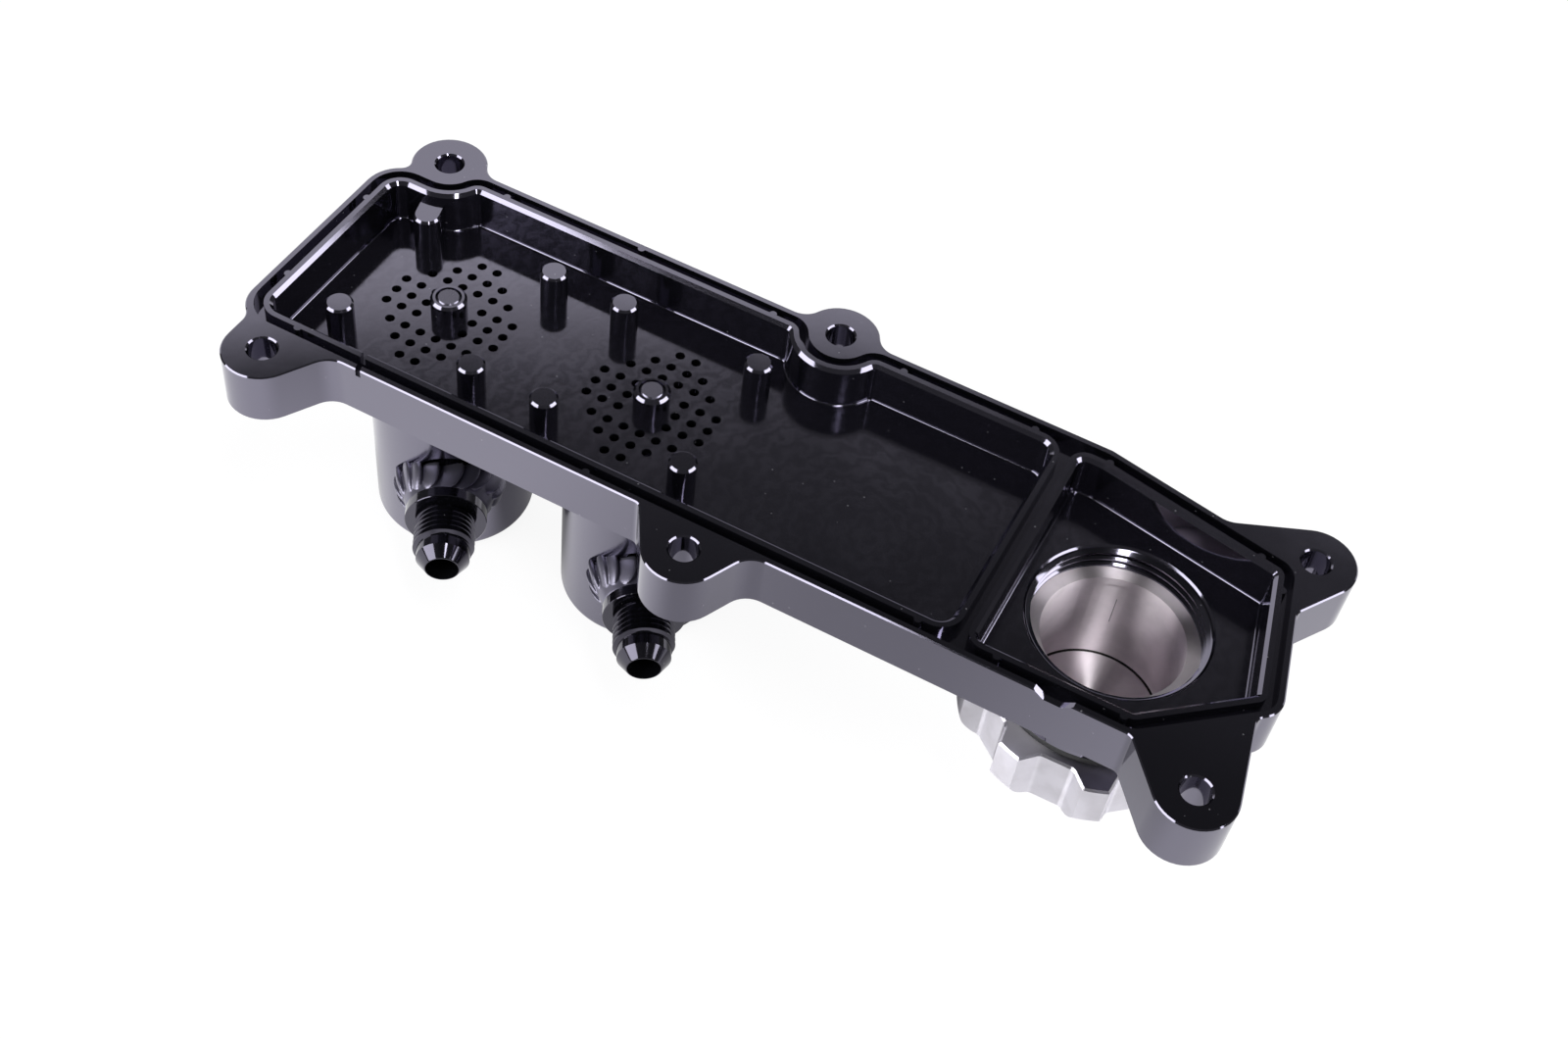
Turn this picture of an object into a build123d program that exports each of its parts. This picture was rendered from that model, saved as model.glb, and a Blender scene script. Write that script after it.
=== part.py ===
from build123d import *
from math import cos, radians, sin, tan
import os

# Billet breather tray with two catch cans and an oil filler, inner side up.
# Millimetres. The origin lies on the sealing face, midway between the four
# main lug holes. +X runs along the tray, +Z points out of the open side.

# Tray plan
lug_span_x = 106.2          # between the left and middle lug holes
front_lug_standoff = 5.65   # front lug holes, outside the tray's front edge
back_lug_inset = 1.25       # back lug holes, inside the tray's back edge
can_pitch = 54.2            # between the two can axes
lug_to_can = 21.6           # left lug holes to the first can axis
can_to_filler = 115.5       # second can axis to the filler axis
tray_width = 69.3
left_reach = 34.65          # first can axis to the tray's left end
lug_radius = 9.1
end_lug_back_reach = 32.1   # filler axis to the lug beside the tail
end_lug_back_inset = 6.15
end_lug_front_reach = 29.2  # filler axis to the lug beside the nose
end_lug_front_standoff = 5.25

# The tray's right end, measured from the filler axis and the long edges
front_run = 13.8
nose_reach = 38.6
nose_rise = 21.1
tail_reach = 30.1
tail_drop = 9.1
bend_reach = 17.7
divider_reach = 26.3

# Corner and blend radii of the plan
left_corner_radius = 8.5
step_corner_radius = 9.3
nose_corner_radius = 6.5
groove_left_radius = 7.8
groove_lug_radius = 5.6
groove_corner_radius = 5.0
groove_bend_radius = 12.0
divider_left_radius = 5.6
divider_right_radius = 4.0

# Feet of the lugs' flanks: across from the lug or filler axis, in from the edge
left_ear_feet = ((-9.0, 4.0), (14.2, 1.0))
middle_ear_feet = ((-14.6, 1.0), (13.0, 1.0))
front_ear_feet = ((12.6, 1.0), (33.4, 21.65))
back_ear_feet = ((10.0, 6.45), (31.6, 23.65))

# Tray sections
tray_depth = 11.0
tray_floor = 2.3
outer_wall = 1.5
gasket_groove = 2.2
gasket_groove_depth = 3.0
inner_wall = 2.05
rim_chamfer = 0.3
pocket_chamfer = 0.8
pocket_foot_radius = 0.6
nub_radius = 0.9            # half-round nubs that hold the gasket in its groove
drain_slot_width = 1.2
drain_slot_depth = 2.0
drain_slot_length = 8.4
drain_slot_along = 33.2     # left end of the tray to the slot's middle
drain_slot_slant = 18.3     # turned from -Y towards +X
pry_notch_along = 3.55      # filler axis back to the notch's middle
pry_notch_width = 8.7       # at the rim
pry_notch_foot = 3.7
pry_notch_depth = 1.8

# Pins and posts in the main compartment
pin_radius = 3.25
pin_height = 8.7
pin_spacing = 35.2
pin_chamfer = 0.5
pin_web = 5.6
pin_web_reach = 5.5
post_radius = 4.27
post_height = 5.3
post_chamfer = 0.6

# Perforated floor over each can
hole_radius = 1.15
hole_pitch = 4.18
hole_rows = [0.0, 4.1, 8.8, 12.9, 17.2]
holes_across = [(1.5, 2.5, 3.5), (1.5, 2.5, 3.5), (0.5, 1.5, 2.5), (0.5, 1.5), (0.5,)]

# Fasteners: M6 throughout
bolt_hole_radius = 3.3
bolt_hole_chamfer = 0.35
screw_radius = 3.0
screw_clearance = 0.05
screw_head_radius = 6.0
screw_head_land = 0.3
hex_key = 4.0
hex_depth = 2.5

# Breather cans and their -6 hose fittings
can_radius = 19.6
can_wall = 1.0
can_floor = 4.0
can_bottom_depth = 74.2     # below the sealing face
can_bottom_radius = 2.5
can_inner_radius = 3.0
can_seat = 0.4              # how far the rim enters the tray
seat_clearance = 0.1
can_seal_height = 0.6
fitting_angle = 30.0        # turned from -Y towards +X
fitting_depth = 48.2
fitting_reach = 46.7        # can axis to the nose
fitting_tail = 16.5         # can axis to the inner end
fitting_tail_radius = 8.0
flange_face = 29.7          # can axis to the flange's front face
flange_radius = 9.3
flange_width = 2.7
thread_radius = 7.14        # 9/16-18 thread
thread_start = 31.5
thread_end = 38.0
thread_chamfer = 0.7
nose_radius = 6.05
nose_tip_radius = 4.0
nose_angle = 37.0
port_radius = 3.75
fitting_clearance = 0.05
weld_radius = 11.8
weld_foot = 14.5            # can axis to the widest part of the bead
weld_reach = 24.0
weld_crown = 14.0

# Filler
filler_radius = 20.3        # bore of the M40 thread
filler_mouth_chamfer = 0.6
filler_neck_radius = 24.3
filler_neck_depth = 29.6
cap_thread_radius = 20.0
cap_rim_depth = 17.7
cap_rim_chamfer = 0.5
cap_bore_radius = 16.45
cap_bore_chamfer = 0.8
cap_bore_foot = 0.5
cap_floor = 3.0
knob_radius = 30.0
knob_valley = 25.4          # axis to the flat of a valley
knob_valley_width = 7.6
knob_valley_blend = 2.0
knob_lobes = 9
knob_turn = 21.2            # first lobe, turned from -Y towards +X
knob_height = 15.0
knob_chamfer = 0.5
knob_edge_radius = 4.9
cap_seal_section = 1.375
cap_seal_radius = 22.6
cap_seal_squeeze = 0.05     # left free between the seal's two faces

# Places that follow from the sizes above
lug_x = lug_span_x / 2
half_width = tray_width / 2
lug_y = (tray_width + front_lug_standoff - back_lug_inset) / 2
centre_y = (front_lug_standoff + back_lug_inset) / 2
can_1_x = lug_to_can - lug_x
can_2_x = can_1_x + can_pitch
can_axes = {"left": (can_1_x, centre_y), "right": (can_2_x, centre_y)}
filler_x = can_2_x + can_to_filler
left_x = can_1_x - left_reach
back_y = centre_y + half_width
front_y = centre_y - half_width
divider_x = filler_x - divider_reach
tray_bottom = -(tray_depth + tray_floor)
boss_land = lug_radius - outer_wall - 0.1
seal_gap = 2 * cap_seal_section + cap_seal_squeeze
knob_top = -(filler_neck_depth + seal_gap)
knob_bottom = knob_top - knob_height
can_top = tray_bottom + can_seat
can_seat_depth = can_seat + can_seal_height
pin_top = pin_height - tray_depth
post_top = post_height - tray_depth

back_lugs = [(-lug_x, lug_y), (lug_x, lug_y)]
main_lugs = [(x, y) for x in (-lug_x, lug_x) for y in (-lug_y, lug_y)]
end_lug_back = (filler_x + end_lug_back_reach, back_y - end_lug_back_inset)
end_lug_front = (filler_x + end_lug_front_reach, front_y - end_lug_front_standoff)
all_lugs = main_lugs + [end_lug_back, end_lug_front]


def corner(sketch, x, y):
    """The vertex of a sketch nearest to a point."""
    return sketch.vertices().sort_by_distance((x, y, 0))[0]


# The tray's straight outline, without its lugs. The last two corners step
# the left end in front of the back lug.
front_right = (filler_x + front_run, front_y)
nose_corner = (filler_x + nose_reach, front_y + nose_rise)
tail_corner = (filler_x + tail_reach, back_y - tail_drop)
back_bend = (filler_x - bend_reach, back_y)
step_x = -lug_x - outer_wall
step_y = lug_y - boss_land + outer_wall
rail_corners = [
    (left_x, front_y),
    front_right,
    nose_corner,
    tail_corner,
    back_bend,
    (step_x, back_y),
    (step_x, step_y),
    (left_x, step_y),
]

with BuildSketch() as rail:
    with BuildLine():
        Polyline(*rail_corners, close=True)
    make_face()

# Outer edge of the gasket groove: it passes in front of the two back lugs.
with BuildSketch() as groove_outside:
    add(rail.sketch)
    offset(amount=-outer_wall, kind=Kind.INTERSECTION)
    with Locations(*back_lugs):
        Circle(boss_land, mode=Mode.SUBTRACT)
    groove_left = left_x + outer_wall
    groove_back = back_y - outer_wall
    for place in ((groove_left, front_y), (groove_left, step_y)):
        fillet(corner(groove_outside, *place), groove_left_radius)
    for x in (-lug_x + boss_land, lug_x - boss_land, lug_x + boss_land):
        fillet(corner(groove_outside, x, groove_back), groove_lug_radius)
    for place in (front_right, nose_corner, tail_corner):
        fillet(corner(groove_outside, *place), groove_corner_radius)
    fillet(corner(groove_outside, *back_bend), groove_bend_radius)

with BuildSketch() as groove_inside:
    add(groove_outside.sketch)
    offset(amount=-gasket_groove)
    with Locations((divider_x, centre_y)):
        Rectangle(gasket_groove, tray_width, mode=Mode.SUBTRACT)
    ring_back = groove_back - gasket_groove
    ring_front = front_y + outer_wall + gasket_groove
    divider_sides = (
        (divider_x - gasket_groove / 2, divider_left_radius),
        (divider_x + gasket_groove / 2, divider_right_radius),
    )
    for x, radius in divider_sides:
        for y in (ring_back, ring_front):
            fillet(corner(groove_inside, x, y), radius)

with BuildSketch() as pockets:
    add(groove_inside.sketch)
    offset(amount=-inner_wall)


def ear(lug, edge, feet):
    """A round lug with flanks that run to two feet, given from a place on the tray's edge."""
    inward = 1 if edge[1] < centre_y else -1
    with BuildSketch(mode=Mode.PRIVATE) as shape:
        with Locations(lug):
            Circle(lug_radius)
        with Locations(*[(edge[0] + x, edge[1] + inward * y) for x, y in feet]):
            Circle(0.05)
        make_hull()
    return shape.sketch


def round_lug(lug):
    """A round lug with no flanks."""
    with BuildSketch(mode=Mode.PRIVATE) as shape:
        with Locations(lug):
            Circle(lug_radius)
    return shape.sketch


def places(sketch):
    """Where the vertices of a sketch are."""
    return {(round(v.X, 3), round(v.Y, 3)) for v in sketch.vertices()}


# Each lug with the radii that blend its left and right feet into the rail
lugs = [
    (ear(main_lugs[0], (-lug_x, front_y), left_ear_feet), 4.0, 6.0),
    (ear(main_lugs[2], (lug_x, front_y), middle_ear_feet), 2.0, 6.0),
    (ear(end_lug_front, (filler_x, front_y), front_ear_feet), 2.0, 2.5),
    (ear(end_lug_back, (filler_x, back_y), back_ear_feet), 6.0, 3.0),
    (round_lug(back_lugs[0]), 2.5, 5.0),
    (round_lug(back_lugs[1]), 5.0, 5.0),
]

with BuildSketch() as outline:
    add(rail.sketch)
    fillet(corner(outline, left_x, front_y), left_corner_radius)
    fillet(corner(outline, left_x, step_y), step_corner_radius)
    fillet(corner(outline, *nose_corner), nose_corner_radius)
    for lug, left_blend, right_blend in lugs:
        known = places(outline) | places(lug)
        add(lug)
        feet = sorted(places(outline) - known)
        for foot, radius in zip(feet, (left_blend, right_blend)):
            fillet(corner(outline, *foot), radius)


def on_wall(start, end, along, inset):
    """A point some way along a wall of the rail, set in from its outer face."""
    run = Vector(*end) - Vector(*start)
    unit = run.normalized()
    inward = Vector(-unit.Y, unit.X)
    place = Vector(*start) + unit * along + inward * inset
    return (place.X, place.Y)


# Nubs: the wall they are on, and how far along it
front_wall = (rail_corners[0], front_right)
nose_wall = (nose_corner, tail_corner)
slant_wall = (tail_corner, back_bend)
back_wall = (back_bend, (step_x, back_y))
left_wall = ((left_x, step_y), (left_x, front_y))
inner_nubs = [
    (front_wall, (15.7, 169.0, 186.8, 214.8)),
    (nose_wall, (32.1,)),
    (slant_wall, (8.3, 47.2)),
    (back_wall, (17.5, 50.2, 83.8, 155.8)),
    (left_wall, (14.8, 45.5)),
]
outer_nubs = [(front_wall, (91.2,)), (back_wall, (120.0,))]
nub_places = []
for nubs, inset in ((inner_nubs, outer_wall + gasket_groove), (outer_nubs, outer_wall)):
    for wall, stations in nubs:
        nub_places += [on_wall(*wall, station, inset) for station in stations]

with BuildSketch() as gasket_track:
    add(groove_outside.sketch)
    add(groove_inside.sketch, mode=Mode.SUBTRACT)
    with Locations(*nub_places):
        Circle(nub_radius, mode=Mode.SUBTRACT)

# Perforations of one can, about its axis
perforations = []
for row, steps in zip(hole_rows, holes_across):
    sides = (1, -1) if row else (1,)
    for side in sides:
        for step in steps:
            perforations += [(step * hole_pitch, side * row), (-step * hole_pitch, side * row)]


def level(z, x=0.0, y=0.0):
    """A level plane at a height, centred over a place."""
    return Plane((x, y, z))


def at_height(shapes, z):
    """Those edges or faces whose centres lie at a height."""
    return shapes.filter_by_position(Axis.Z, z - 0.001, z + 0.001)


# Drain slot through the two front walls, and the notch for a pry bar
front_walls = outer_wall + gasket_groove + inner_wall
slot_way = (sin(radians(drain_slot_slant)), -cos(radians(drain_slot_slant)), 0)
slot_plane = Plane(origin=(left_x + drain_slot_along, front_y + front_walls / 2, 0), x_dir=slot_way)
notch_plane = Plane(origin=(filler_x - pry_notch_along, front_y, 0), x_dir=(1, 0, 0), z_dir=(0, -1, 0))

with BuildPart() as tray:
    with BuildSketch():
        add(outline.sketch)
    extrude(amount=tray_bottom)
    chamfer(at_height(tray.edges(), 0), rim_chamfer)

    # Compartments, with a wide chamfer at the mouth and a radius at the foot
    with BuildSketch():
        add(pockets.sketch)
    extrude(amount=-tray_depth, mode=Mode.SUBTRACT)
    fillet(at_height(tray.edges(), -tray_depth), pocket_foot_radius)
    rim_face = at_height(tray.faces(), 0)[0]
    chamfer(rim_face.inner_wires().edges(), pocket_chamfer)

    # Gasket groove, drain slot and pry notch
    with BuildSketch():
        add(gasket_track.sketch)
    extrude(amount=-gasket_groove_depth, mode=Mode.SUBTRACT)
    with BuildSketch(slot_plane):
        Rectangle(drain_slot_length, drain_slot_width)
    extrude(amount=-drain_slot_depth, mode=Mode.SUBTRACT)
    with BuildSketch(notch_plane):
        with BuildLine():
            Polyline(
                (-pry_notch_width / 2, 0),
                (-pry_notch_foot / 2, -pry_notch_depth),
                (pry_notch_foot / 2, -pry_notch_depth),
                (pry_notch_width / 2, 0),
                close=True,
            )
        make_face()
    extrude(amount=-outer_wall, mode=Mode.SUBTRACT)

    # Filler neck
    with BuildSketch(level(tray_bottom, filler_x, centre_y)):
        Circle(filler_neck_radius)
    extrude(amount=-(filler_neck_depth + tray_bottom))
    chamfer(at_height(tray.edges(), -filler_neck_depth), rim_chamfer)
    with BuildSketch(level(-filler_neck_depth, filler_x, centre_y)):
        Circle(filler_radius)
    extrude(amount=filler_neck_depth - tray_depth, mode=Mode.SUBTRACT)
    with BuildSketch(level(-tray_depth, filler_x, centre_y)):
        Circle(filler_radius + filler_mouth_chamfer)
    extrude(amount=-filler_mouth_chamfer, taper=45, mode=Mode.SUBTRACT)

    # Under each can: its seat. Inside: four pins and the post for its screw
    for x, y in can_axes.values():
        with BuildSketch(level(tray_bottom, x, y)):
            Circle(can_radius + seat_clearance)
        extrude(amount=can_seat_depth, mode=Mode.SUBTRACT)
        with BuildSketch(level(-tray_depth, x, y)):
            with GridLocations(pin_spacing, pin_spacing, 2, 2):
                Circle(pin_radius)
        extrude(amount=pin_height)
        with BuildSketch(level(-tray_depth, x, y)):
            Circle(post_radius)
        extrude(amount=post_height)
    for height, size in ((pin_top, pin_chamfer), (post_top, post_chamfer)):
        chamfer(at_height(tray.faces(), height).edges(), size)

    # The left can's back left pin is joined to the wall behind it
    web_start = (can_1_x - pin_spacing / 2, centre_y + pin_spacing / 2)
    web_plane = Plane(origin=(*web_start, -tray_depth), x_dir=Vector(*back_lugs[0]) - Vector(*web_start))
    with BuildSketch(web_plane):
        with Locations((pin_web_reach / 2, 0)):
            Rectangle(pin_web_reach, pin_web)
    extrude(amount=pin_height)

    # Perforations, screw holes and lug holes
    for x, y in can_axes.values():
        with BuildSketch(level(-tray_depth, x, y)):
            with Locations(*perforations):
                Circle(hole_radius)
        extrude(amount=-tray_floor, mode=Mode.SUBTRACT)
        with BuildSketch(level(tray_bottom, x, y)):
            Circle(screw_radius + screw_clearance)
        extrude(amount=tray_floor + post_height, mode=Mode.SUBTRACT)
    with BuildSketch(level(tray_bottom)):
        with Locations(*all_lugs):
            Circle(bolt_hole_radius)
    extrude(amount=-tray_bottom, mode=Mode.SUBTRACT)
    for face_z, way in ((0, -1), (tray_bottom, 1)):
        with BuildSketch(level(face_z)):
            with Locations(*all_lugs):
                Circle(bolt_hole_radius + bolt_hole_chamfer)
        extrude(amount=way * bolt_hole_chamfer, taper=45, mode=Mode.SUBTRACT)

tray.part.label = "tray"
os.makedirs("parts", exist_ok=True)
export_step(tray.part, "parts/tray.step")

# The cans and what holds them, one set for each side
way = Vector(sin(radians(fitting_angle)), -cos(radians(fitting_angle)), 0)
can_bottom = -can_bottom_depth
can_height = can_top - can_bottom
head_depth = screw_head_radius - screw_radius + screw_head_land

for side, (x, y) in can_axes.items():
    # Upright plane through the can's axis: X runs along the hose fitting, Y up
    fitting_start = Vector(x, y, -fitting_depth)
    fitting_plane = Plane(origin=fitting_start, x_dir=way, z_dir=(way.Y, -way.X, 0))
    fitting_axis = Axis(fitting_start, way)
    screw_plane = Plane(origin=(x, y, can_bottom), x_dir=(1, 0, 0), z_dir=(0, -1, 0))
    can_axis = Axis((x, y, 0), (0, 0, 1))

    with BuildPart() as can:
        with BuildSketch(level(can_bottom, x, y)):
            Circle(can_radius)
        extrude(amount=can_height)
        fillet(at_height(can.edges(), can_bottom), can_bottom_radius)
        with BuildSketch(level(can_bottom + can_floor, x, y)):
            Circle(can_radius - can_wall)
        extrude(amount=can_height - can_floor, mode=Mode.SUBTRACT)
        fillet(at_height(can.edges(), can_bottom + can_floor), can_inner_radius)
        with BuildSketch(screw_plane):
            with BuildLine():
                Polyline(
                    (0, 0),
                    (screw_head_radius + screw_clearance, 0),
                    (screw_head_radius + screw_clearance, screw_head_land),
                    (screw_radius + screw_clearance, head_depth),
                    (screw_radius + screw_clearance, can_floor),
                    (0, can_floor),
                    close=True,
                )
            make_face()
        revolve(axis=can_axis, mode=Mode.SUBTRACT)
        with BuildSketch(Plane(origin=fitting_start, z_dir=way)):
            Circle(fitting_tail_radius + fitting_clearance)
        extrude(amount=can_radius + 1, mode=Mode.SUBTRACT)
    can.part.label = f"can_{side}"
    export_step(can.part, f"parts/can_{side}.step")

    with BuildPart() as can_seal:
        with BuildSketch(level(can_top, x, y)):
            Circle(can_radius)
            Circle(can_radius - can_wall, mode=Mode.SUBTRACT)
        extrude(amount=can_seal_height)
    can_seal.part.label = f"can_seal_{side}"
    export_step(can_seal.part, f"parts/can_seal_{side}.step")

    with BuildPart() as can_screw:
        with BuildSketch(screw_plane):
            with BuildLine():
                Polyline(
                    (0, 0),
                    (screw_head_radius, 0),
                    (screw_head_radius, screw_head_land),
                    (screw_radius, head_depth),
                    (screw_radius, post_top - can_bottom - post_chamfer),
                    (screw_radius - post_chamfer, post_top - can_bottom),
                    (0, post_top - can_bottom),
                    close=True,
                )
            make_face()
        revolve(axis=can_axis)
        with BuildSketch(level(can_bottom, x, y)):
            RegularPolygon(hex_key / 2, 6, major_radius=False)
        extrude(amount=hex_depth, mode=Mode.SUBTRACT)
    can_screw.part.label = f"can_screw_{side}"
    export_step(can_screw.part, f"parts/can_screw_{side}.step")

    with BuildPart() as hose_fitting:
        nose_base = fitting_reach - (nose_radius - nose_tip_radius) / tan(radians(nose_angle))
        flange_back = flange_face - flange_width
        with BuildSketch(fitting_plane):
            with BuildLine():
                Polyline(
                    (fitting_tail, 0),
                    (fitting_tail, fitting_tail_radius),
                    (flange_back - thread_chamfer, fitting_tail_radius),
                    (flange_back, flange_radius),
                    (flange_face - rim_chamfer, flange_radius),
                    (flange_face, flange_radius - rim_chamfer),
                    (flange_face, nose_radius),
                    (thread_start - thread_chamfer, nose_radius),
                    (thread_start, thread_radius),
                    (thread_end - thread_chamfer, thread_radius),
                    (thread_end, nose_radius),
                    (nose_base, nose_radius),
                    (fitting_reach, nose_tip_radius),
                    (fitting_reach, 0),
                    close=True,
                )
            make_face()
        revolve(axis=fitting_axis)
        with BuildSketch(Plane(origin=fitting_start, z_dir=way)):
            Circle(port_radius)
        extrude(amount=fitting_reach, mode=Mode.SUBTRACT)
    hose_fitting.part.label = f"hose_fitting_{side}"
    export_step(hose_fitting.part, f"parts/hose_fitting_{side}.step")

    with BuildPart() as weld_bead:
        with BuildSketch(fitting_plane):
            with BuildLine():
                bead_foot = (weld_foot, weld_radius)
                bead_toe = (weld_reach, fitting_tail_radius + fitting_clearance)
                inner_foot = (weld_foot, fitting_tail_radius + fitting_clearance)
                RadiusArc(bead_foot, bead_toe, weld_crown)
                Polyline(bead_toe, inner_foot, bead_foot)
            make_face()
        revolve(axis=fitting_axis)
        with BuildSketch(level(-fitting_depth - 2 * weld_radius, x, y)):
            Circle(can_radius + fitting_clearance)
        extrude(amount=4 * weld_radius, mode=Mode.SUBTRACT)
    weld_bead.part.label = f"weld_bead_{side}"
    export_step(weld_bead.part, f"parts/weld_bead_{side}.step")

filler_axis = Axis((filler_x, centre_y, 0), (0, 0, 1))
filler_plane = Plane(origin=(filler_x, centre_y, knob_bottom), x_dir=(1, 0, 0), z_dir=(0, -1, 0))
lobe_angle = 360 / knob_lobes
first_valley = knob_turn - 90 + lobe_angle / 2
flank = knob_radius - knob_valley + 1

with BuildPart() as filler_cap:
    # Knob: a disc with a flat valley milled between each two lobes
    with BuildSketch(level(knob_bottom, filler_x, centre_y)) as knob_plan:
        Circle(knob_radius)
        with PolarLocations(0, knob_lobes, start_angle=first_valley):
            Polygon(
                (knob_valley, -knob_valley_width / 2),
                (knob_valley + flank, -knob_valley_width / 2 - flank),
                (knob_valley + flank, knob_valley_width / 2 + flank),
                (knob_valley, knob_valley_width / 2),
                align=None,
                mode=Mode.SUBTRACT,
            )
        valley_corners = knob_plan.vertices().sort_by_distance((0, 0, 0))[: 2 * knob_lobes]
        fillet(valley_corners, knob_valley_blend)
    extrude(amount=knob_height)
    with BuildSketch(filler_plane) as knob_section:
        with BuildLine():
            Polyline((0, 0), (knob_radius, 0), (knob_radius, knob_height), (0, knob_height), close=True)
        make_face()
        fillet(corner(knob_section, knob_radius, 0), knob_edge_radius)
    revolve(axis=filler_axis, mode=Mode.INTERSECT)
    chamfer(at_height(filler_cap.edges(), knob_top), knob_chamfer)

    # Threaded spigot, bored out as a cup
    with BuildSketch(level(knob_top, filler_x, centre_y)):
        Circle(cap_thread_radius)
    extrude(amount=-knob_top - cap_rim_depth)
    chamfer(at_height(filler_cap.edges(), -cap_rim_depth), cap_rim_chamfer)
    with BuildSketch(level(knob_bottom + cap_floor, filler_x, centre_y)):
        Circle(cap_bore_radius)
    extrude(amount=knob_height - cap_floor - knob_top - cap_rim_depth, mode=Mode.SUBTRACT)
    fillet(at_height(filler_cap.edges(), knob_bottom + cap_floor), cap_bore_foot)
    chamfer(at_height(filler_cap.faces(), -cap_rim_depth)[0].inner_wires().edges(), cap_bore_chamfer)

filler_cap.part.label = "filler_cap"
export_step(filler_cap.part, "parts/filler_cap.step")

with BuildPart() as cap_seal:
    with Locations((filler_x, centre_y, -filler_neck_depth - seal_gap / 2)):
        Torus(cap_seal_radius, cap_seal_section)
cap_seal.part.label = "cap_seal"
export_step(cap_seal.part, "parts/cap_seal.step")
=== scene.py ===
import bpy
import random
from math import cos, pi, radians, sin
from mathutils import Matrix, Vector


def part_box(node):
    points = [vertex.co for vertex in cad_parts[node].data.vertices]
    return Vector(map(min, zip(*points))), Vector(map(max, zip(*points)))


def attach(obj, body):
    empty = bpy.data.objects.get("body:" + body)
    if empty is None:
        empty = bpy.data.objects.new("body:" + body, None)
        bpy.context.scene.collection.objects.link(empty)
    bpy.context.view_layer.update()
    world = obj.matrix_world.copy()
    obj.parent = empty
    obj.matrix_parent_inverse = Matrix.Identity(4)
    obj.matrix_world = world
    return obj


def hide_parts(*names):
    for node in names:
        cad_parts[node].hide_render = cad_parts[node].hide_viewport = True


# Black anodised breather tray with two catch cans and a bare filler cap, inner
# side up. Metres; sizes in millimetres carry MM. Outlines for drawn(), turned()
# and helix() are in millimetres.
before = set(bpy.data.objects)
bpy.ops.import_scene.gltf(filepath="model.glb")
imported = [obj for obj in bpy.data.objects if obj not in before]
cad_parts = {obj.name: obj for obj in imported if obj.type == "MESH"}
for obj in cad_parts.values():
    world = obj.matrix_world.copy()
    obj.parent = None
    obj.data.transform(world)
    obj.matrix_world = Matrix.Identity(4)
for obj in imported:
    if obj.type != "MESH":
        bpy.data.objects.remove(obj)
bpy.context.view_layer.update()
MM = 0.001
random.seed(7)


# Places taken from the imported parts

def middle(node):
    """Centre of a CAD node's box."""
    low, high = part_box(node)
    return (Vector(low) + Vector(high)) / 2


cans = {side: middle(f"can_{side}") for side in ("left", "right")}
filler = middle("cap_seal")
ground = Vector(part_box("can_left")[0]).z
knob_face = Vector(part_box("filler_cap")[0]).z


# Camera at the photograph's viewing angle, set by its aim, bearing and distance

IMAGE_WIDTH = 1600
FOCAL_PIXELS = 2064.98
SENSOR_WIDTH = 36
AIM = Vector((63.96, -10.18, -11.0)) * MM
BEARING = radians(20.81)
RISE = radians(50.10)
ROLL = radians(8.69)
DISTANCE = 441.78 * MM

back = Vector((sin(BEARING) * cos(RISE), -cos(BEARING) * cos(RISE), sin(RISE)))
level_right = (-back).cross(Vector((0, 0, 1))).normalized()
level_up = level_right.cross(-back)
right = cos(ROLL) * level_right + sin(ROLL) * level_up
up = -sin(ROLL) * level_right + cos(ROLL) * level_up
camera_data = bpy.data.cameras.new("camera")
camera_data.sensor_width = SENSOR_WIDTH
camera_data.lens = FOCAL_PIXELS / IMAGE_WIDTH * SENSOR_WIDTH
camera_data.clip_start = 0.01
camera_data.clip_end = 20
camera = bpy.data.objects.new("camera", camera_data)
bpy.context.scene.collection.objects.link(camera)
turn_of_camera = Matrix((right, up, back)).transposed().to_4x4()
camera.matrix_world = Matrix.Translation(AIM + back * DISTANCE) @ turn_of_camera
bpy.context.scene.camera = camera
bpy.context.scene.view_settings.view_transform = "Standard"


# Mesh work, by Blender's own operators

def work_on(piece):
    """Makes piece the only object that operators act on."""
    bpy.ops.object.select_all(action="DESELECT")
    bpy.context.view_layer.objects.active = piece
    piece.select_set(True)


def edit(piece):
    """Opens piece for editing with all of it selected."""
    work_on(piece)
    bpy.ops.object.mode_set(mode="EDIT")
    bpy.ops.mesh.select_all(action="SELECT")


def close():
    bpy.ops.object.mode_set(mode="OBJECT")


def apply(piece, kind, **settings):
    """Adds a modifier with its settings and applies it."""
    work_on(piece)
    modifier = piece.modifiers.new(kind.lower(), kind)
    for setting, value in settings.items():
        setattr(modifier, setting, value)
    bpy.ops.object.modifier_apply(modifier=modifier.name)


def cut(piece, tool, operation):
    """Joins, cuts or trims piece with a tool, which is used up."""
    apply(piece, "BOOLEAN", operation=operation, object=tool, solver="EXACT")
    bpy.data.objects.remove(tool)


def smooth(piece, angle):
    """Rounds the shading over edges flatter than angle degrees."""
    work_on(piece)
    bpy.ops.object.shade_smooth_by_angle(angle=radians(angle))
    apply(piece, "WEIGHTED_NORMAL", keep_sharp=True)


def drawn(name, points):
    """A line in the XZ plane, drawn point by point from one vertex."""
    points = [Vector((x, 0, z)) * MM for x, z in points]
    bpy.ops.object.select_all(action="DESELECT")
    bpy.ops.mesh.primitive_plane_add(size=MM, location=points[0])
    line = bpy.context.active_object
    line.name = name
    place(line)
    edit(line)
    bpy.ops.mesh.merge(type="CENTER")
    for start, end in zip(points, points[1:]):
        bpy.ops.mesh.extrude_vertices_move(TRANSFORM_OT_translate={"value": end - start})
    close()
    return line


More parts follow.
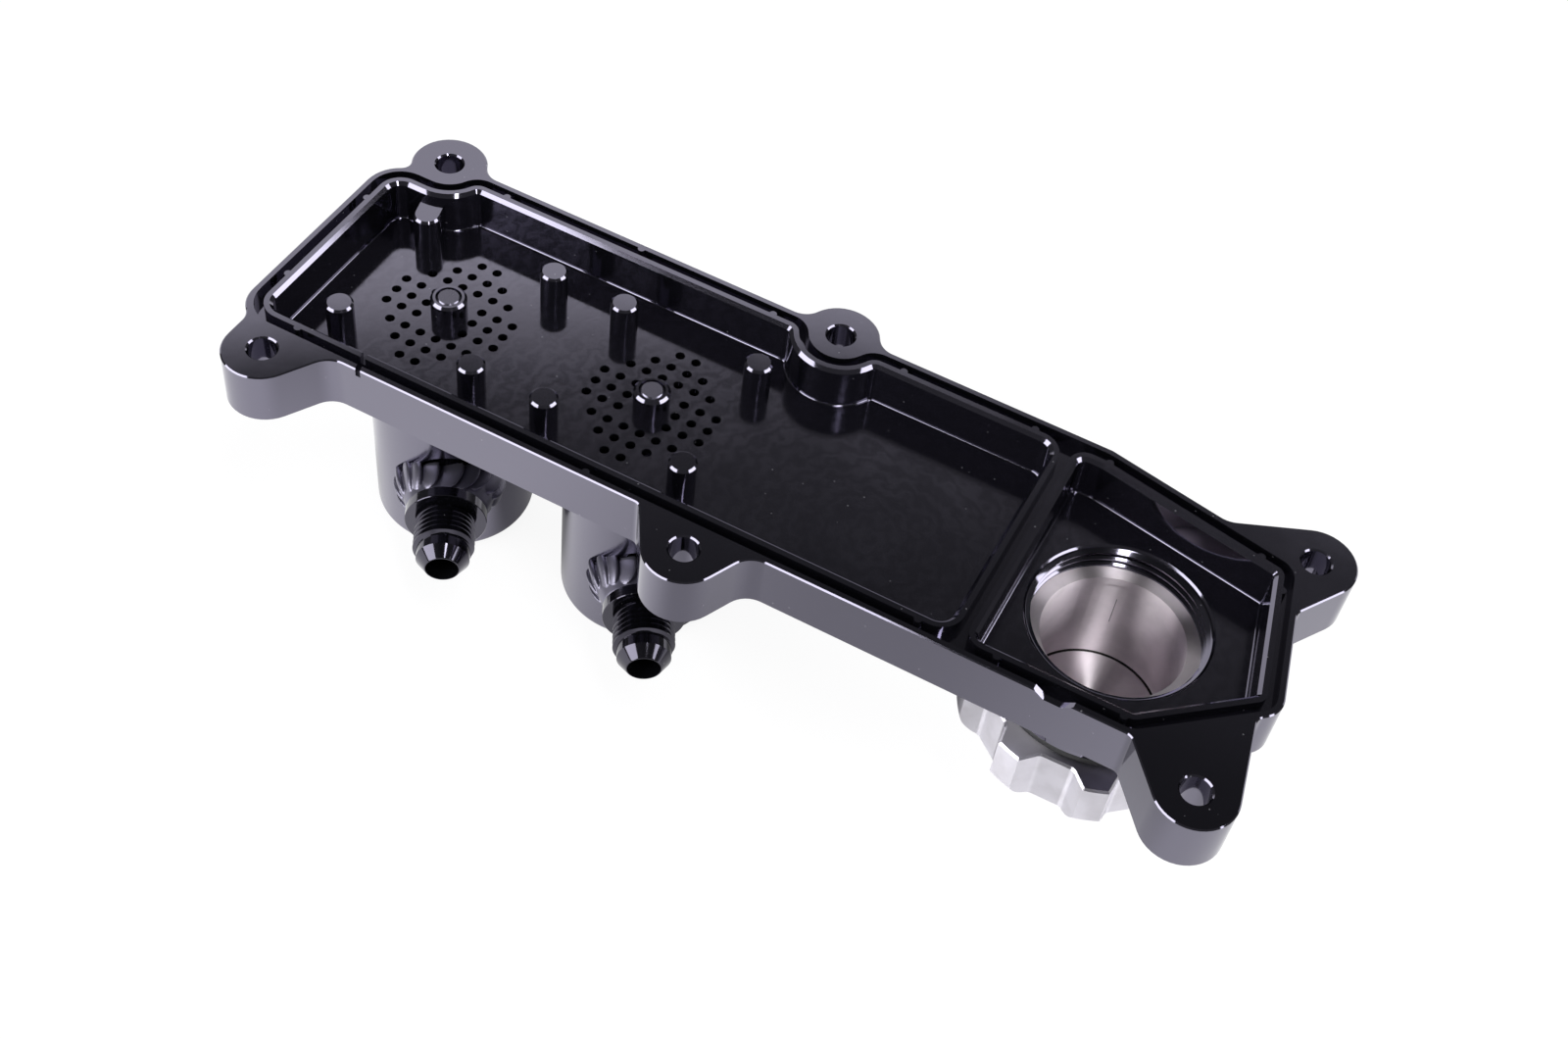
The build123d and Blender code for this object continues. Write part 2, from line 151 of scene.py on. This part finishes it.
def place(piece):
    """Puts the piece's place, turn and size into its mesh."""
    work_on(piece)
    bpy.ops.object.transform_apply(location=True, rotation=True, scale=True)


def clean(piece):
    """Merges doubles and points the faces outwards."""
    edit(piece)
    bpy.ops.mesh.remove_doubles(threshold=0.002 * MM)
    bpy.ops.mesh.normals_make_consistent(inside=False)
    close()


def turned(name, points, steps=128):
    """A round solid on the Z axis, spun from the (radius, height) points of its outline."""
    on_axis = points[0][0] == 0 and points[-1][0] == 0
    piece = drawn(name, points if on_axis else points + [points[0]])
    edit(piece)
    bpy.ops.mesh.spin(steps=steps, angle=2 * pi, center=(0, 0, 0), axis=(0, 0, 1))
    close()
    clean(piece)
    return piece


def helix(name, points, pitch, turns, steps=96):
    """A screw thread on the Z axis, swept from the (radius, height) points of its section."""
    piece = drawn(name, points)
    apply(piece, "SCREW", axis="Z", angle=2 * pi, screw_offset=pitch * MM, iterations=turns,
          steps=steps, render_steps=steps, use_merge_vertices=True, merge_threshold=0.001 * MM)
    clean(piece)
    return piece


def twin(piece, name):
    """A copy of piece with its own mesh."""
    copy = piece.copy()
    copy.data = piece.data.copy()
    copy.name = name
    bpy.context.scene.collection.objects.link(copy)
    return copy


def finished(piece, finish, body, slot, *nodes):
    """Gives a piece its finish and its body, and hides the CAD nodes that it stands for. The slot is not
    used.
    """
    piece.data.materials.clear()
    piece.data.materials.append(finish.material)
    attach(piece, body)
    if nodes:
        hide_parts(*nodes)


def dressed(node, finish, body, slot, angle=28):
    """A CAD node's own shape, merged and smoothly shaded, in its finish."""
    piece = bpy.data.objects.new(f"{node}_skin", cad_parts[node].data.copy())
    bpy.context.scene.collection.objects.link(piece)
    edit(piece)
    bpy.ops.mesh.customdata_custom_splitnormals_clear()
    bpy.ops.mesh.remove_doubles(threshold=0.001 * MM)
    close()
    smooth(piece, angle)
    finished(piece, finish, body, slot, node)
    return piece


# Finishes

class Value:
    """A node's output that adds Math nodes when Python reckons with it."""

    def __init__(self, finish, socket):
        self.finish = finish
        self.socket = socket

    def math(self, operation, first, second=0.0):
        return self.finish.node("Math", {"operation": operation}, {0: first, 1: second})

    def __add__(self, other):
        return self.math("ADD", self, other)

    def __sub__(self, other):
        return self.math("SUBTRACT", self, other)

    def __rsub__(self, other):
        return self.math("SUBTRACT", other, self)

    def __mul__(self, other):
        return self.math("MULTIPLY", self, other)

    def __pow__(self, other):
        return self.math("POWER", self, other)

    def __lt__(self, other):
        return self.math("LESS_THAN", self, other)

    def __gt__(self, other):
        return self.math("GREATER_THAN", self, other)

    def __abs__(self):
        return self.math("ABSOLUTE", self)

    __radd__ = __add__
    __rmul__ = __mul__


class Finish:
    """A material in the making: a shader's constants, then what varies over the piece."""

    def __init__(self, name, constants, tree=None):
        if tree is None:
            self.material = bpy.data.materials.new(name)
            self.material.use_nodes = True
            tree = self.material.node_tree
            self.shader = tree.nodes["Principled BSDF"]
        self.tree = tree
        for socket, value in constants.items():
            self.join(self.shader.inputs[socket], value)

    def join(self, socket, value):
        if isinstance(value, Value):
            self.tree.links.new(value.socket, socket)
        else:
            socket.default_value = value

    def node(self, kind, settings, inputs, output=0):
        """One node: its settings first, then the values or links of its sockets."""
        made = self.tree.nodes.new(f"ShaderNode{kind}")
        for setting, value in settings.items():
            setattr(made, setting, value)
        for socket, value in inputs.items():
            self.join(made.inputs[socket], value)
        return Value(self, made.outputs[output])

    def position(self):
        return self.node("TexCoord", {}, {}, "Object")

    def axes(self, vector):
        return [self.node("SeparateXYZ", {}, {0: vector}, axis) for axis in ("X", "Y", "Z")]

    def noise(self, size, vector, detail):
        """Soft clouds, a cloud about size metres across."""
        return self.node("TexNoise", {}, {"Vector": vector, "Scale": 1 / size, "Detail": detail})

    def ramp(self, value, low, high, at_low=0.0, at_high=1.0):
        """A smooth rise from at_low to at_high as value goes from low to high."""
        inputs = {"Value": value, "From Min": low, "From Max": high, "To Min": at_low, "To Max": at_high}
        return self.node("MapRange", {"interpolation_type": "SMOOTHSTEP"}, inputs)

    def mixed(self, factor, first, second):
        """A colour between two colours."""
        return self.node("Mix", {"data_type": "RGBA"}, {0: factor, 6: first, 7: second}, 2)

    def dust(self, vector, size, share):
        """A few small specks: 1 on a speck, else 0."""
        inputs = {"Vector": vector, "Scale": 1 / size}
        cell = self.node("TexVoronoi", {}, inputs, "Distance")
        chance = self.axes(self.node("TexVoronoi", {}, inputs, "Color"))[0]
        return (cell < 0.1) * (chance < share)

    def relief(self, height, distance):
        """Bumps of a real height in metres."""
        bumps = self.node("Bump", {}, {"Height": height, "Distance": distance})
        self.join(self.shader.inputs["Normal"], bumps)


def rgb(red, green, blue):
    return (red, green, blue, 1)


ANODISED_TINT = rgb(0.81, 0.77, 1.0)
LINT = rgb(0.10, 0.10, 0.11)
WAVE = 0.02                         # height of the gloss's waves in mm
POCKET_FLOOR = -11.0 * MM
POCKET_MARKS = (-0.082, 0.006, 0)   # middle of the cutter's rings on the pocket's floor


def gloss_black(name, base=(0.003, 0.003, 0.004), rough=0.05, spread=0.03, waviness=WAVE,
                pocket=0.0, ior=2.5):
    """Black anodising over machined aluminium, with clouds of gloss and a little lint."""
    finish = Finish(name, {"IOR": ior, "Specular Tint": ANODISED_TINT})
    spot = finish.position()
    clouds = finish.noise(26 * MM, spot, 4)
    fine = finish.noise(0.5 * MM, spot, 2)
    lint = finish.dust(spot, 1.9 * MM, 0.10)
    roughness = rough + spread * finish.ramp(clouds, 0.35, 0.7)
    height = clouds * (waviness / WAVE)
    if pocket:
        x, y, z = finish.axes(spot)
        floor = 1 - finish.ramp(abs(z - POCKET_FLOOR), 0.05 * MM, 0.12 * MM)
        around = finish.node("Mapping", {}, {"Vector": spot, "Location": POCKET_MARKS})
        rings = {"Vector": around, "Scale": 70, "Distortion": 9.0, "Detail": 3.0, "Detail Scale": 4.0}
        marks = finish.node("TexWave", {"wave_type": "RINGS", "rings_direction": "Z"}, rings)
        roughness = roughness + floor * (pocket + 0.03 * marks)
        height = height + floor * marks * 0.03
    finish.join(finish.shader.inputs["Roughness"], roughness + 0.02 * fine)
    finish.join(finish.shader.inputs["Base Color"], finish.mixed(lint, rgb(*base), LINT))
    finish.relief(height, WAVE * MM)
    return finish


CUP_PAINTED_LIGHTER = rgb(0.87, 0.80, 0.85)
KNOB_COLOUR = rgb(0.76, 0.74, 0.81)
TARNISH = rgb(0.35, 0.33, 0.34)
CORNER_SHADE_AND_STREAK = rgb(0.03, 0.027, 0.028)
CUP_RADIUS = 16.3 * MM
MOUTH_RADIUS = 19.6 * MM
SPIGOT_RADIUS = 20.6 * MM
CUP_FLOOR = knob_face + 3.1 * MM - filler.z      # this and the next two from the seal's middle
KNOB_INSIDE = knob_face + 1.5 * MM - filler.z
DARK_STREAK_SPOT = (-3.7 * MM, 2.6 * MM)                # across and up, on the back of the cup's wall


def bare_metal(name, rough, cut_depth):
    """Bare turned metal: fine tool lines along every turned face, a warm tarnish in clouds, painted shade
    along the cup's inner corner, a thin dark upright line on the back of the cup's wall, and the cup's inside
    painted lighter than the knob.
    """
    finish = Finish(name, {"Metallic": 1.0, "Anisotropic": 0.98, "Anisotropic Rotation": 0.25})
    spot = finish.position()
    x, y, z = finish.axes(finish.node("VectorMath", {"operation": "SUBTRACT"}, {0: spot, 1: tuple(filler)}))
    radius = (x * x + y * y) ** 0.5
    lines = finish.node("TexNoise", {"noise_dimensions": "1D"}, {"W": radius + z, "Scale": 9000, "Detail": 3})
    clouds = finish.noise(9 * MM, spot, 4)
    # Painted shade: a dark line along the cup's inner corner, where its floor meets its wall
    foot = (abs(z - CUP_FLOOR) < 0.16 * MM) * (abs(radius - CUP_RADIUS) < 0.4 * MM)
    # A thin dark upright line on the back of the cup's wall
    dark_streak = (abs(x - DARK_STREAK_SPOT[0]) < 0.1 * MM) * (y > 14 * MM) * (abs(z - DARK_STREAK_SPOT[1]) < 4.2 * MM)
    # The cup's inside gets a lighter, warmer colour than the knob: painted light in the recess
    cup = (radius < SPIGOT_RADIUS) * (z > KNOB_INSIDE)
    metal = finish.mixed(cup, KNOB_COLOUR, CUP_PAINTED_LIGHTER)
    metal = finish.mixed(0.3 * finish.ramp(clouds, 0.35, 0.7), metal, TARNISH)
    finish.join(finish.shader.inputs["Base Color"], finish.mixed(foot + dark_streak * 0.7, metal, CORNER_SHADE_AND_STREAK))
    roughness = rough - 0.14 * (radius > MOUTH_RADIUS) + 0.08 * clouds + 0.06 * lines
    finish.join(finish.shader.inputs["Roughness"], roughness)
    finish.relief(lines, cut_depth)
    return finish


def seal_rubber(name):
    """Matt black rubber with a fine grain."""
    finish = Finish(name, {"Base Color": rgb(0.012, 0.012, 0.013)})
    grain = finish.noise(0.4 * MM, finish.position(), 3)
    finish.join(finish.shader.inputs["Roughness"], 0.45 + 0.2 * grain)
    finish.relief(grain, 0.02 * MM)
    return finish


tray_black = gloss_black("tray_gloss_black", pocket=0.02)
can_black = gloss_black("can_gloss_black", rough=0.12, spread=0.06)
fitting_black = gloss_black("fitting_gloss_black", rough=0.07, spread=0.03, ior=1.75)
weld_black = gloss_black("weld_black", base=(0.022, 0.022, 0.027), rough=0.34, spread=0.10, waviness=0.05)
cap_metal = bare_metal("cap_bare_aluminium", 0.40, 0.003 * MM)
screw_black = gloss_black("screw_black_oxide", base=(0.01, 0.01, 0.012), rough=0.2, spread=0.08)
rubber = seal_rubber("seal_rubber")


# Tray, cans and screws keep their CAD shapes

dressed("tray", tray_black, "tray", "tray_black")
for side in cans:
    dressed(f"can_{side}", can_black, "tray", "can_black")
    dressed(f"can_screw_{side}", screw_black, "tray", "screw_steel")
    dressed(f"can_seal_{side}", rubber, "tray", "seal_rubber")


# Filler thread, M40 x 2: a ridge up the neck's bore, and its groove in the cap

PITCH = 2.0
THREAD_FOOT = -31.0           # height at which ridge and groove start
BORE = 20.3
CREST = 19.2
NECK = (-29.3, -11.35)        # heights between which the neck has its thread


def at_filler(piece):
    piece.location = (filler.x, filler.y, 0)
    place(piece)


def filler_thread(name, section, turns):
    """A thread in the filler's pitch, from its foot upwards."""
    piece = helix(name, section, PITCH, turns)
    piece.location.z = THREAD_FOOT * MM
    place(piece)
    return piece


ridge = filler_thread("filler_thread", [
    (BORE + 0.1, -0.95), (BORE - 0.1, -0.85), (CREST, -0.22), (CREST, 0.22),
    (BORE - 0.1, 0.85), (BORE + 0.1, 0.95), (BORE + 0.1, -0.95),
], 11)
low, high = NECK
sleeve = turned("filler_sleeve", [
    (BORE + 0.05, low), (BORE - 0.05, low), (CREST - 0.1, low + 1.0),
    (CREST - 0.1, high - 0.6), (BORE - 0.05, high), (BORE + 0.05, high),
])
cut(ridge, sleeve, "INTERSECT")
at_filler(ridge)
smooth(ridge, 30)
finished(ridge, tray_black, "tray", "tray_black")

cap = dressed("filler_cap", cap_metal, "filler_cap", "cap_bare")
groove = filler_thread("cap_groove", [
    (BORE + 0.2, -1.02), (BORE - 0.25, -0.86), (CREST - 0.1, -0.28), (CREST - 0.1, 0.28),
    (BORE - 0.25, 0.86), (BORE + 0.2, 1.02), (BORE + 0.2, -1.02),
], 7)
mouth_cone = turned("cap_mouth_cone", [(16.2, -19.25), (19.5, -17.68), (19.5, -17.0), (16.2, -17.0)])
for tool in (groove, mouth_cone):
    at_filler(tool)
    cut(cap, tool, "DIFFERENCE")
smooth(cap, 28)

bpy.ops.object.select_all(action="DESELECT")
seal_low, seal_high = (Vector(v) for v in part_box("cap_seal"))
section = (seal_high.z - seal_low.z) / 2
bpy.ops.mesh.primitive_torus_add(location=filler, major_segments=160, minor_segments=32,
                                 major_radius=(seal_high.x - seal_low.x) / 2 - section, minor_radius=section)
ring = bpy.context.active_object
ring.name = "cap_o_ring"
place(ring)
edit(ring)
bpy.ops.mesh.normals_make_consistent(inside=False)
close()
smooth(ring, 60)
finished(ring, rubber, "cap_seal", "seal_rubber", "cap_seal")


# Hose fittings, along +Z from the can's axis, then laid along their own direction

FITTING_DEPTH = 48.2
FITTING_ANGLE = radians(-60)
THREAD_PITCH = 1.411
THREAD_START = 30.5
BODY_OUTLINE = [
    (0, 16.5), (5.0, 16.5), (5.0, 29.0),                        # tail
    (9.65, 29.7), (9.65, 32.26), (9.51, 32.4),                  # flange
    (6.1, 32.4), (6.1, 41.2), (6.25, 41.4), (6.25, 43.85),      # thread's core and collar
    (4.22, 46.54), (4.05, 46.7), (0, 46.7),                     # cone and nose
]
THREAD_OUTLINE = [(0, 32.7), (6.5, 32.7), (7.2, 33.5), (7.2, 41.0), (6.0, 41.25), (0, 41.25)]
THREAD_SECTION = [(6.2, 0), (6.2, 0.18), (7.2, 0.62), (7.2, 0.79), (6.2, 1.23), (6.2, THREAD_PITCH)]
PORT_OUTLINE = [(0, 10), (3.75, 10), (3.75, 46.2), (3.95, 47), (3.95, 50), (0, 50)]


def along_fitting(piece, side):
    """Lays a piece made on the Z axis along a can's hose fitting."""
    piece.rotation_euler = (0, pi / 2, FITTING_ANGLE)
    piece.location = (cans[side].x, cans[side].y, -FITTING_DEPTH * MM)
    place(piece)


fitting = turned("hose_fitting", BODY_OUTLINE)
threads = helix("fitting_thread", THREAD_SECTION, THREAD_PITCH, 9, 64)
threads.location.z = THREAD_START * MM
place(threads)
for height, low_side in ((32.5, True), (41.8, False)):
    edit(threads)
    bpy.ops.mesh.bisect(plane_co=(0, 0, height * MM), plane_no=(0, 0, 1), use_fill=True,
                        clear_inner=low_side, clear_outer=not low_side, threshold=0.0001 * MM)
    close()
clean(threads)
cut(threads, turned("thread_blank", THREAD_OUTLINE), "INTERSECT")
cut(fitting, threads, "UNION")
cut(fitting, turned("hose_port", PORT_OUTLINE), "DIFFERENCE")
fittings = {"left": fitting, "right": twin(fitting, "hose_fitting_right_turned")}
for side, piece in fittings.items():
    along_fitting(piece, side)
    smooth(piece, 30)
    finished(piece, fitting_black, "tray", "fitting_black", f"hose_fitting_{side}")


# Weld beads: a collar of metal with a ring of overlapping ripples, wider than it is high

RIPPLES = 18
RIPPLE_REACH = 9.8
RIPPLE_HEIGHT = 21.2
COLLAR_OUTLINE = [
    (4.9, 13.0), (10.3, 13.0), (10.3, 19.0), (9.9, 22.0), (9.2, 25.0), (8.4, 27.6), (7.6, 29.2), (4.9, 29.5),
]
BEAD_SCALE = (0.74, 1.14, 1)
BEAD_TILT = radians(-8)
BEAD_SHIFT = 5.1
CAN_SKIN = 19.4               # just inside the can's outer wall


def weld_ripple(number):
    """One scale of the weld at its place round the collar."""
    turn = 2 * pi * (number + random.uniform(-0.2, 0.2)) / RIPPLES
    spot = Vector((RIPPLE_REACH, 0, RIPPLE_HEIGHT + 1.4 * cos(2 * turn))) * MM
    bpy.ops.object.select_all(action="DESELECT")
    bpy.ops.mesh.primitive_uv_sphere_add(segments=24, ring_count=14, radius=MM)
    ripple = bpy.context.active_object
    thickness = 0.65 + 0.45 * abs(sin(turn)) + random.uniform(-0.06, 0.06)
    ripple.scale = (thickness, 3.1, 5.2 + random.uniform(-0.4, 0.3))
    ripple.rotation_euler = (0, radians(-15), radians(22))
    ripple.location = spot
    place(ripple)
    edit(ripple)
    bpy.ops.transform.rotate(value=radians(12), orient_axis="X", center_override=spot)
    bpy.ops.transform.rotate(value=turn, orient_axis="Z", center_override=(0, 0, 0))
    close()
    return ripple


bead = turned("weld_bead", COLLAR_OUTLINE, 96)
ripples = [weld_ripple(number) for number in range(RIPPLES)]
work_on(bead)
for ripple in ripples:
    ripple.select_set(True)
bpy.ops.object.join()
apply(bead, "REMESH", mode="VOXEL", voxel_size=0.18 * MM)
apply(bead, "SMOOTH", factor=0.5, iterations=3)
bead.scale = BEAD_SCALE
place(bead)
bead.rotation_euler.y = BEAD_TILT
bead.location.x = BEAD_SHIFT * MM
place(bead)
cut(bead, turned("bead_bore", [(0, 10), (5.02, 10), (5.02, 31), (0, 31)]), "DIFFERENCE")
beads = {"left": bead, "right": twin(bead, "weld_bead_right_ripples")}
for side, piece in beads.items():
    along_fitting(piece, side)
    bpy.ops.object.select_all(action="DESELECT")
    bpy.ops.mesh.primitive_cylinder_add(vertices=192, radius=CAN_SKIN * MM, depth=60 * MM,
                                        location=(cans[side].x, cans[side].y, -FITTING_DEPTH * MM))
    can_side = bpy.context.active_object
    place(can_side)
    cut(piece, can_side, "DIFFERENCE")
    smooth(piece, 60)
    finished(piece, weld_black, "tray", "weld_black", f"weld_bead_{side}")


# Floor, world and lamps

bpy.ops.object.select_all(action="DESELECT")
bpy.ops.mesh.primitive_plane_add(size=12, location=(0.06, 0, ground - 0.05 * MM))
floor = bpy.context.active_object
floor.name = "pale_floor"
paper = Finish("pale_paper", {"Base Color": rgb(0.92, 0.92, 0.93), "Roughness": 0.9})
ray_kinds = ("Is Camera Ray", "Is Glossy Ray", "Is Transmission Ray")
looked_at, glossy, through = (paper.node("LightPath", {}, {}, kind) for kind in ray_kinds)
seen = (looked_at + glossy + through) * 0.86
along, across, height = paper.axes(paper.position())
plain = paper.ramp(along * along + across * across, 0.3, 2.0, 1.05, 1.18)
# What the black faces mirror: light painted into the paper's glow, a painted pool of light at the left and
# painted shade behind and between the cans
painted_mirror_light = paper.ramp(along, -0.09, 0.01, 1.5, 0.72) + paper.ramp(along, 0.03, 0.11, 0, 0.5)
# Painted shadow of the tray and cans on the paper, seen only in reflections
shade = (paper.ramp(abs(along), 0.10, 0.13, 1, 0) * paper.ramp(across, -0.015, 0.0)
         * paper.ramp(across, 0.045, 0.07, 1, 0))
colour = looked_at * plain + (1 - looked_at) * painted_mirror_light * (1 - 0.75 * shade)
glow = paper.node("Emission", {}, {"Color": colour})
lit = paper.node("MixShader", {}, {0: seen, 1: Value(paper, paper.shader.outputs[0]), 2: glow})
under = paper.node("NewGeometry", {}, {}, "Backfacing")
clear = paper.node("BsdfTransparent", {}, {})
sheet = paper.node("MixShader", {}, {0: under, 1: lit, 2: clear})
paper.join(paper.tree.nodes["Material Output"].inputs["Surface"], sheet)
floor.data.materials.append(paper.material)

# The studio: a bright backdrop up to about 45 degrees behind the part, a dark ceiling
world = bpy.data.worlds.new("studio")
bpy.context.scene.world = world
world.use_nodes = True
sky = Finish("studio", {}, world.node_tree)
x, y, z = sky.axes(sky.node("TexCoord", {}, {}, "Generated"))
backdrop = sky.ramp(y, 0.25, 0.5) * sky.ramp(x, 0.15, 0.35, 1, 0) * sky.ramp(z, 0.690, 0.724, 1, 0)
level = backdrop * 1.25 + (1 - backdrop) * sky.ramp(z, 0.74, 0.82, 0.09, 0.03)
looked_at = sky.node("LightPath", {}, {}, "Is Camera Ray")
level = looked_at * 1.05 + (1 - looked_at) * level
sky.join(world.node_tree.nodes["Background"].inputs["Color"], level)

PART_MIDDLE = Vector((0.056, 0, -0.03))
LAMP_DISTANCE = 1.5


def softbox(name, bearing, rise, width, height, glow_level):
    """A soft lamp seen from the part at a bearing and a rise, both in degrees."""
    lamp = bpy.data.lights.new(name, "AREA")
    lamp.shape = "RECTANGLE"
    lamp.size = width
    lamp.size_y = height
    lamp.energy = glow_level * pi * width * height
    holder = bpy.data.objects.new(name, lamp)
    bpy.context.scene.collection.objects.link(holder)
    bearing, rise = radians(bearing), radians(rise)
    way = Vector((cos(bearing) * cos(rise), sin(bearing) * cos(rise), sin(rise)))
    turn = way.to_track_quat("Z", "Y").to_matrix().to_4x4()
    holder.matrix_world = Matrix.Translation(PART_MIDDLE + way * LAMP_DISTANCE) @ turn
    holder.visible_camera = False


softbox("left_front_softbox", -129, 23, 1.45, 0.95, 6)
softbox("right_softbox", 16, 29.5, 1.3, 0.6, 6)
softbox("tall_front_lamp", -43, 62.5, 0.16, 0.64, 20)
